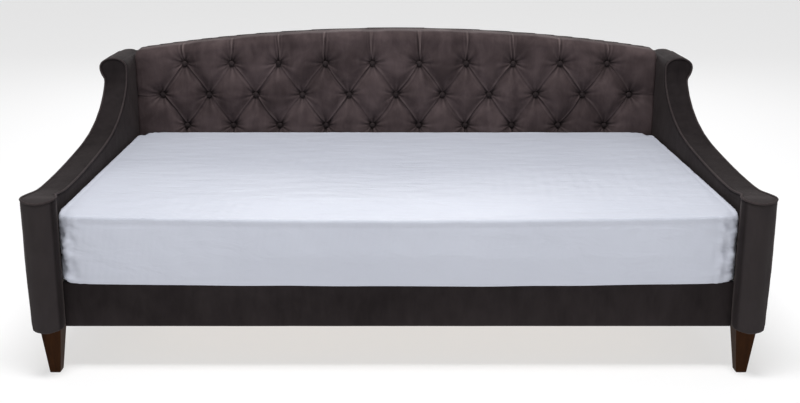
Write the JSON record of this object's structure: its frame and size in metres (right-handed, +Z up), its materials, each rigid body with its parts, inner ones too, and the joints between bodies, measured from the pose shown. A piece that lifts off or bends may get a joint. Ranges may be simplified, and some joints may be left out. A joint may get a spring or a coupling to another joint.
{
  "type": "daybed",
  "caption": "Upholstered daybed with a button-tufted arched back, sweeping scroll arms edged with piping, tapered wooden legs and a mattress in a fitted sheet on slats.",
  "frame": {"origin": "centre of the footprint at floor level, under the middle of the whole object's box", "axes": "+X along the bed towards its right end as seen from the open front, +Y from the open front towards the tufted back, +Z up"},
  "size_m": [2.1184, 1.183, 0.848],
  "materials": {
    "velvet": "charcoal-brown short-pile velvet over foam",
    "velvet_piping": "the same velvet over a round cord",
    "velvet_button": "the same velvet over a domed button shell",
    "frame_wood": "planed unfinished hardwood",
    "slat_wood": "planed unfinished softwood",
    "plywood": "sanded plywood",
    "stained_wood": "espresso stain under satin lacquer",
    "steel": "zinc plated",
    "mattress_ticking": "quilted ticking over springs and foam",
    "sheet_satin": "cool white sateen weave"
  },
  "bodies": {
    "frame": {"arm_frame_left": "frame_wood", "arm_frame_right": "frame_wood", "arm_inner_pad_left": "velvet", "arm_inner_pad_right": "velvet", "arm_outer_pad_left": "velvet", "arm_outer_pad_right": "velvet", "arm_piping_left": "velvet_piping", "arm_piping_right": "velvet_piping", "arm_roll_left": "velvet", "arm_roll_right": "velvet", "arm_top_pad_left": "velvet", "arm_top_pad_right": "velvet", "back_board": "plywood", "back_bottom_rail": "frame_wood", "back_outer_cover": "velvet", "back_stile_centre": "frame_wood", "back_stile_left": "frame_wood", "back_stile_right": "frame_wood", "back_top_pad": "velvet", "back_top_rail": "frame_wood", "back_tufted_pad": "velvet", "beam_bracket_left": "steel", "beam_bracket_right": "steel", "buttons_bottom_row": "velvet_button", "buttons_middle_row": "velvet_button", "buttons_top_row": "velvet_button", "centre_beam": "frame_wood", "centre_leg": "stained_wood", "front_ledger": "frame_wood", "front_rail_board": "frame_wood", "front_rail_cover": "velvet", "leg_bolt_front_left": "steel", "leg_bolt_front_right": "steel", "leg_bolt_rear_left": "steel", "leg_bolt_rear_right": "steel", "leg_front_left": "stained_wood", "leg_front_right": "stained_wood", "leg_rear_left": "stained_wood", "leg_rear_right": "stained_wood", "post_block_left": "frame_wood", "post_block_right": "frame_wood", "post_pad_left": "velvet", "post_pad_right": "velvet", "rail_bracket_left": "steel", "rail_bracket_right": "steel", "rear_ledger": "frame_wood", "slat_01": "slat_wood", "slat_02": "slat_wood", "slat_03": "slat_wood", "slat_04": "slat_wood", "slat_05": "slat_wood", "slat_06": "slat_wood", "slat_07": "slat_wood", "slat_08": "slat_wood", "slat_09": "slat_wood", "slat_10": "slat_wood", "slat_11": "slat_wood", "slat_12": "slat_wood"},
    "mattress": {"mattress": "mattress_ticking", "fitted_sheet": "sheet_satin"}
  },
  "joints": [
    {"name": "mattress_lift", "type": "slide", "parent": "frame", "child": "mattress", "axis": [0, 0, 1], "range_m": [0, 0.3]}
  ]
}
